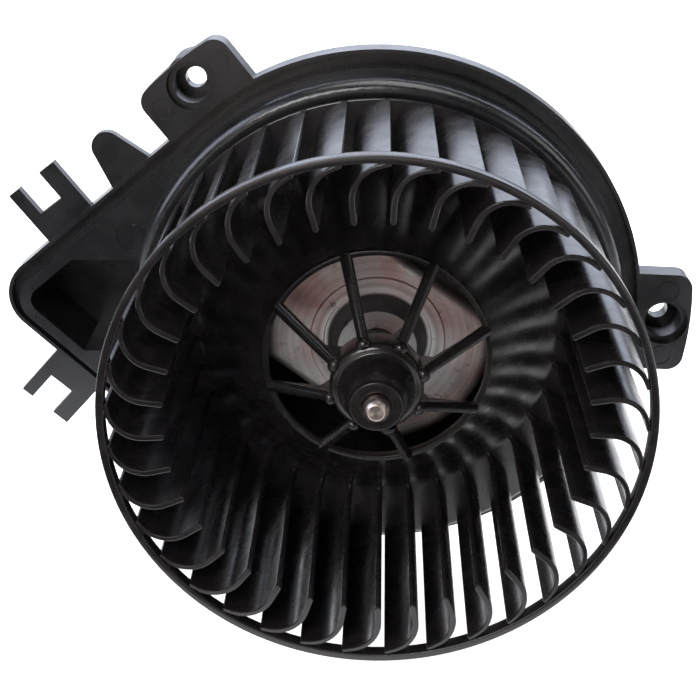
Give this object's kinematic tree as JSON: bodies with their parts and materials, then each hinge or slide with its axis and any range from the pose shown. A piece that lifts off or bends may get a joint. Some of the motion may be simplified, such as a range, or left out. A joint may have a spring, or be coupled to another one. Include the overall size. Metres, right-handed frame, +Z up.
{
  "type": "heater blower with motor and wheel",
  "caption": "Open squirrel-cage blower wheel with forward-curved blades on a flat-sided motor, in a drop-shaped flange moulding with screw ears, forks and a cooling pocket.",
  "frame": {"origin": "on the wheel axis, in the plane of the flange rim's front edge", "axes": "+Y along the wheel axis from the open mouth to the motor's rear, +Z up as the ears are drawn, +X to the right seen from the mouth"},
  "size_m": [0.2201, 0.1497, 0.1812],
  "materials": {
    "wheel_moulding": "moulded, satin",
    "housing_moulding": "moulded, satin",
    "shaft_steel": "ground",
    "case_steel": "zinc plated",
    "lamination_steel": "stamped",
    "copper": "enamelled wire",
    "insulator": "moulded",
    "rubber": "moulded",
    "ferrite": "sintered",
    "spring_steel": "rolled",
    "bearing_bronze": "sintered",
    "felt": "oiled felt",
    "card": "pressed sheet",
    "brass": "stamped",
    "carbon": "sintered",
    "screw_steel": "zinc plated"
  },
  "bodies": {
    "root": {"motor_can": "case_steel", "motor_end_cap": "case_steel", "magnet_right": "ferrite", "magnet_left": "ferrite", "magnet_clips": "spring_steel", "front_bearing": "bearing_bronze", "rear_bearing": "bearing_bronze", "front_bearing_retainer": "spring_steel", "rear_bearing_retainer": "spring_steel", "front_felt_ring": "felt", "rear_felt_ring": "felt", "brush_card": "card", "brush_holder_right": "brass", "brush_holder_left": "brass", "brush_spring_right": "spring_steel", "brush_spring_left": "spring_steel", "choke_cores": "ferrite", "choke_coils": "copper", "capacitor": "card", "terminals": "brass", "connector_socket": "housing_moulding", "flange_housing": "housing_moulding", "rear_cover": "housing_moulding", "cover_screws": "screw_steel", "front_rubber_pads": "rubber", "rear_rubber_pads": "rubber"},
    "rotor": {"impeller": "wheel_moulding", "shaft": "shaft_steel", "armature_core": "lamination_steel", "armature_winding": "copper", "slot_insulators": "insulator", "commutator_core": "insulator", "commutator_bars": "copper", "front_thrust_washer": "insulator", "rear_thrust_washer": "insulator", "oil_slinger": "rubber"},
    "brush_right": {"carbon_brush_right": "carbon"},
    "brush_left": {"carbon_brush_left": "carbon"}
  },
  "joints": [
    {"name": "wheel_spin", "type": "hinge", "parent": "root", "child": "rotor", "pos_m": [0, 0, 0], "axis": [0, 1, 0], "continuous": true},
    {"name": "brush_right_slide", "type": "slide", "parent": "root", "child": "brush_right", "axis": [0.7986, 0, -0.6018], "range_m": [0, 0.004], "stiffness_N_per_m": 120, "springref_m": -0.002, "deforming": ["brush_spring_right"]},
    {"name": "brush_left_slide", "type": "slide", "parent": "root", "child": "brush_left", "axis": [-0.7986, 0, 0.6018], "range_m": [0, 0.004], "stiffness_N_per_m": 120, "springref_m": -0.002, "deforming": ["brush_spring_left"]}
  ]
}
